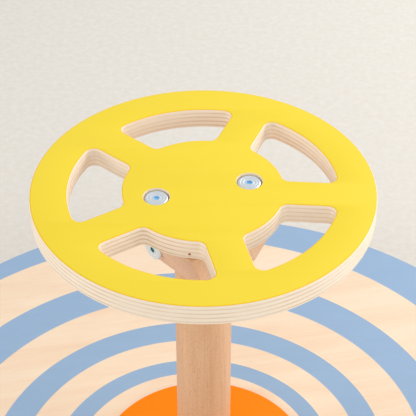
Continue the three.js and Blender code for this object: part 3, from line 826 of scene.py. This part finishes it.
def screw(node, body, up, sunk=False):
    """A wood screw with a crossed recess: a pan head, or a countersunk one. up: it points up."""
    length = high(node) - low(node)
    head = radius(node)
    shank, pitch = 2.1 * MM, 1.5 * MM
    if sunk:
        levels = [circle(shank, 2.4 * MM), circle(head - 0.2 * MM, 0.4 * MM), circle(head, 0.2 * MM)]
        levels += [circle(head - 0.15 * MM, 0)]
    else:
        levels = [circle(shank, 3.0 * MM), circle(head - 0.2 * MM, 3.0 * MM), circle(head, 2.8 * MM)]
        levels += [circle(head, 1.7 * MM), circle(head * 0.93, 0.9 * MM)]
        levels += [circle(head * 0.8, 0.35 * MM), circle(head * 0.62, 0.05 * MM)]
    arm, width = 2.0 * MM, 0.9 * MM
    levels += [cross(arm, width, 0.02 * MM), cross(arm * 0.92, width * 0.9, 0.25 * MM)]
    levels += [cross(arm * 0.45, width * 0.6, 1.7 * MM)]
    stem = [circle(0.25 * MM, length)]
    lift = length - 0.8 * MM
    while lift > length * 0.42:
        taper = min(1.0, (length - lift) / (4.5 * MM))
        stem += [circle(shank * taper, lift), circle(shank * 0.72 * taper, lift - 0.7 * MM)]
        lift -= pitch
    stem += [circle(shank * 0.95, lift), circle(shank * 0.95, 3.2 * MM)]
    shape = loft(stem + levels)
    if not up:
        shape.moved(Matrix.Scale(-1, 4, (0, 0, 1)))
    spot = centre(node)
    shape.at(spot.x, spot.y, low(node) if up else high(node))
    keep(mesh_of(node + "_threaded", shape, ("zinc",)), body, node, 35)


# ------------------------------------------------------------------ platform and cover

def platform():
    bottom, top, size = low("platform"), high("platform"), radius("platform")
    hole = radius("post") + PLATFORM_PLAY
    edge = 1.5 * MM
    profile = [(hole, bottom, 0.6 * MM), (size, bottom, edge), (size, top, edge), (hole, top, 0.6 * MM)]

    def which(spot, lift):
        if hole + 1 * MM < spot < size - 0.6 * edge:
            return 0 if lift > (bottom + top) / 2 else 2
        return 1

    shape = turned(profile, 320, True, 5, which)
    piece = mesh_of("platform_board", shape, ("platform_print", "platform_ply", "birch"))
    drills = [centre(n) for n in nodes("upper_race_screw_")]
    cutters = [bore(s.x, s.y, WOOD_HOLE, bottom - PAST, bottom + LONG_PILOT) for s in drills]
    drills = [centre(n) for n in nodes("cover_screw_")]
    cutters += [bore(s.x, s.y, WOOD_HOLE, bottom - PAST, top + PAST) for s in drills]
    for cutter in cutters:
        cutter.numbers = [1] * len(cutter.numbers)
    drilled(piece, cutters)
    keep(piece, "platform", "platform", 25)


def centre_cover():
    bottom, top, size = low("centre_cover"), high("centre_cover"), radius("centre_cover")
    hole = radius("post") + COVER_PLAY
    profile = [(hole, bottom, 0.2 * MM), (size, bottom, 0.3 * MM), (size, top, 1.5 * MM),
               (hole, top, 0.6 * MM)]
    piece = mesh_of("centre_cover_disc", turned(profile, 224, True, 5), ("orange",))
    drills = [centre(n) for n in nodes("cover_screw_")]
    end = bottom + COVER_PILOT
    drilled(piece, [bore(s.x, s.y, WOOD_HOLE, bottom - PAST, end) for s in drills])
    keep(piece, "platform", "centre_cover", 25)


# ------------------------------------------------------------------ bearing

def race(node, body, face, back, screws):
    """Ring with a ball groove in its face and a countersunk hole for each screw."""
    ball_height = centre("ball_1").z
    circle_of_balls = math.hypot(centre("ball_1").x, centre("ball_1").y)
    outer = radius(node)
    inner = 2 * circle_of_balls - outer
    rise = math.asin(abs(face - ball_height) / GROOVE_RADIUS)
    side = 1 if face > ball_height else -1
    groove = []
    for k in range(13):
        angle = math.pi - rise - (math.pi - 2 * rise) * k / 12
        groove.append((circle_of_balls + GROOVE_RADIUS * math.cos(angle),
                       ball_height + side * GROOVE_RADIUS * math.sin(angle)))
    edge = 0.5 * MM
    profile = [(inner, back, edge), (inner, face, edge), *groove, (outer, face, edge), (outer, back, edge)]
    piece = mesh_of(node + "_ground", turned(profile, 240, True, 3), ("steel",))
    into = 1 if back > face else -1
    sink, hole = 4.4 * MM, WOOD_HOLE
    cutters = []
    for spot in (centre(n) for n in screws):
        line = [(0, face - into * PAST), (sink, face - into * PAST), (sink, face),
                (hole, face + into * (sink - hole)), (hole, back + into * PAST),
                (0, back + into * PAST)]
        cutters.append(turned(line, 48).at(spot.x, spot.y))
    drilled(piece, cutters)
    keep(piece, body, node, 25)


def ball(node):
    size, middle = radius(node), centre(node)
    profile = [(size * math.sin(math.pi * k / 24), -size * math.cos(math.pi * k / 24)) for k in range(25)]
    profile[0] = (0, -size)
    profile[-1] = (0, size)
    shape = turned(profile, 48).at(*middle)
    keep(mesh_of(node + "_ground", shape, ("steel",)), "bearing_cage", node, 60)


def ball_cage():
    bottom, top, outer = low("ball_cage"), high("ball_cage"), radius("ball_cage")
    spots = [centre(n) for n in nodes("ball_")]
    ring = math.hypot(spots[0].x, spots[0].y)
    inner = 2 * ring - outer
    edge = 0.3 * MM
    profile = [(inner, bottom, edge), (outer, bottom, edge), (outer, top, edge), (inner, top, edge)]
    piece = mesh_of("ball_cage_moulded", turned(profile, 240, True, 3), ("nylon",))
    hole = radius("ball_1") + 0.45 * MM
    drilled(piece, [bore(s.x, s.y, hole, bottom - PAST, top + PAST, 64) for s in spots])
    keep(piece, "bearing_cage", "ball_cage", 30)


# ------------------------------------------------------------------ base

def post_socket():
    """Round flange with a short tube that holds the foot of the post."""
    bottom, top, size = low("post_socket"), high("post_socket"), radius("post_socket")
    plate = bottom + SOCKET_PLATE
    inner = radius("post") + SOCKET_PLAY
    outer = inner + SOCKET_WALL
    profile = [(ROD_HOLE, bottom, 0.3 * MM), (size, bottom, 0.6 * MM), (size, plate, 0.8 * MM),
               (outer, plate, 1.0 * MM), (outer, top, 0.6 * MM), (inner, top, 0.6 * MM),
               (inner, plate), (ROD_HOLE, plate, 0.3 * MM)]
    piece = mesh_of("post_socket_pressed", turned(profile, 160, True, 3), ("steel",))
    spots = [centre(n) for n in nodes("socket_screw_")]
    drilled(piece, [bore(s.x, s.y, SOCKET_SCREW_HOLE, bottom - PAST, plate + PAST) for s in spots])
    keep(piece, "base", "post_socket", 30)


def base_board():
    bottom, top, size = low("base_board"), high("base_board"), radius("base_board")
    edge = 1.2 * MM
    profile = [(ROD_HOLE, bottom, 0.3 * MM), (size, bottom, edge), (size, top, edge),
               (ROD_HOLE, top, 0.3 * MM)]

    def which(spot, lift):
        return 0 if ROD_HOLE + 1 * MM < spot < size - 0.6 * edge else 1

    shape = turned(profile, 256, True, 4, which)
    piece = mesh_of("base_board_round", shape, ("birch", "base_ply"))
    pocket = bore(0, 0, NUT_POCKET, bottom - PAST, bottom + BASE_POCKET_DEPTH, 64)
    spots = [centre(n) for n in nodes("foot_")]
    cutters = [bore(s.x, s.y, WOOD_HOLE, bottom - PAST, bottom + LONG_PILOT) for s in spots]
    spots = [centre(n) for n in nodes("socket_screw_") + nodes("lower_race_screw_")]
    cutters += [bore(s.x, s.y, WOOD_HOLE, top - BASE_PILOT, top + PAST) for s in spots]
    cutters.append(pocket)
    for cutter in cutters:
        cutter.numbers = [1] * len(cutter.numbers)
    drilled(piece, cutters)
    keep(piece, "base", "base_board", 25)


def foot(node):
    """Moulded rubber foot: a tapered pad with a ribbed underside and a pocket for its screw."""
    bottom, top, size = low(node), high(node), radius(node)
    pocket, hole = 8 * MM, 2.6 * MM
    web = bottom + 6 * MM
    rib = 0.5 * MM
    profile = [(hole, web), (pocket, web, 0.4 * MM), (pocket, bottom, 0.6 * MM)]
    profile += [(11 * MM, bottom, 0.2 * MM), (11.6 * MM, bottom + rib), (12.6 * MM, bottom + rib)]
    profile += [(13.2 * MM, bottom, 0.2 * MM), (15.2 * MM, bottom, 0.2 * MM), (15.8 * MM, bottom + rib)]
    profile += [(16.8 * MM, bottom + rib), (17.4 * MM, bottom, 0.2 * MM)]
    profile += [(size - 2 * MM, bottom, 0.8 * MM), (size, bottom + 2 * MM, 1.2 * MM)]
    profile += [(size - 3 * MM, top, 0.8 * MM), (hole, top)]
    spot = centre(node)
    shape = turned(profile, 96, True, 4).at(spot.x, spot.y)
    keep(mesh_of(node + "_moulded", shape, ("rubber",)), "base", node, 30)


# ------------------------------------------------------------------ build

hand_wheel()
for name in nodes("wheel_bolt_"):
    wheel_bolt(name)
barrel_nut("barrel_nut_1", "wheel_bolt_1", 1)
barrel_nut("barrel_nut_2", "wheel_bolt_2", -1)
head_block()
post()
for name in nodes("dowel_"):
    dowel(name)
tie_rod()
for name in ("tie_washer_lower", "tie_washer_upper"):
    washer(name)
for name in ("tie_nut_lower", "tie_nut_upper"):
    tie_nut(name)
for name in nodes("foot_screw_"):
    screw(name, "base", True)
for name in nodes("socket_screw_"):
    screw(name, "base", False)
for name in nodes("lower_race_screw_"):
    screw(name, "base", False, True)
for name in nodes("upper_race_screw_"):
    screw(name, "platform", True, True)
for name in nodes("cover_screw_"):
    screw(name, "platform", True)
platform()
centre_cover()
race("lower_race", "base", high("lower_race"), low("lower_race"), nodes("lower_race_screw_"))
race("upper_race", "platform", low("upper_race"), high("upper_race"), nodes("upper_race_screw_"))
for name in nodes("ball_"):
    ball(name)
ball_cage()
post_socket()
base_board()
for name in nodes("foot_"):
    foot(name)


# ------------------------------------------------------------------ floor, light and camera

LENS = 133.1
CAMERA_FROM_WHEEL = (0, -1.0911, 0.8624)  # from the middle of the wheel's top face
AIM_FROM_WHEEL = (0.0043, 0, -0.0224)


def floor():
    graph = Graph("pale_floor", {"Specular IOR Level": 0.1, "Roughness": 0.9})
    pile = graph.noise(graph.stretched(9 * MM, 9 * MM), 4, roughness=0.65)
    shade = graph.mix(graph.between(pile, 0.3, 0.7), linear(222, 217, 208), linear(230, 226, 220))
    graph.finish(shade, None, pile, 1.5 * MM, 0.3)
    data = bpy.data.meshes.new("floor")
    reach = 12
    corners = [(-reach, -reach, 0), (reach, -reach, 0), (reach, reach, 0), (-reach, reach, 0)]
    data.from_pydata(corners, [], [(0, 1, 2, 3)])
    data.materials.append(graph.material)
    made = bpy.data.objects.new("floor", data)
    bpy.context.scene.collection.objects.link(made)


def soft_light(name, place, aim, size, power, colour):
    data = bpy.data.lights.new(name, "AREA")
    data.shape = "DISK"
    data.size = size
    data.energy = power
    data.color = colour
    made = bpy.data.objects.new(name, data)
    made.location = place
    made.rotation_euler = (Vector(aim) - Vector(place)).to_track_quat("-Z", "Y").to_euler()
    bpy.context.scene.collection.objects.link(made)


def sky(colour, strength):
    world = bpy.data.worlds.new("studio")
    world.use_nodes = True
    background = world.node_tree.nodes["Background"]
    background.inputs["Color"].default_value = colour
    background.inputs["Strength"].default_value = strength
    bpy.context.scene.world = world


def camera():
    wheel_top = Vector((0, 0, high("hand_wheel")))
    data = bpy.data.cameras.new("camera")
    data.lens = LENS
    data.sensor_width = 36
    data.clip_start = 0.02
    made = bpy.data.objects.new("camera", data)
    made.location = wheel_top + Vector(CAMERA_FROM_WHEEL)
    aim = wheel_top + Vector(AIM_FROM_WHEEL)
    made.rotation_euler = (aim - made.location).to_track_quat("-Z", "Y").to_euler()
    bpy.context.scene.collection.objects.link(made)
    bpy.context.scene.camera = made


floor()
soft_light("window_light", (1.7, 1.5, 1.9), (0, 0, 0.25), 1.6, 42, (1.0, 0.99, 0.98))
soft_light("front_fill", (-0.8, -2.7, 1.5), (0, 0, 0.2), 2.4, 11, (1.0, 1.0, 1.0))
soft_light("right_fill", (2.3, -0.9, 0.7), (0, 0, 0.2), 1.2, 19, (1.0, 1.0, 1.0))
soft_light("left_fill", (-2.3, -0.6, 0.8), (0, 0, 0.2), 1.2, 16, (1.0, 1.0, 1.0))
sky((1.0, 0.997, 0.99, 1), 0.58)
camera()
bpy.context.scene.view_settings.view_transform = "Standard"
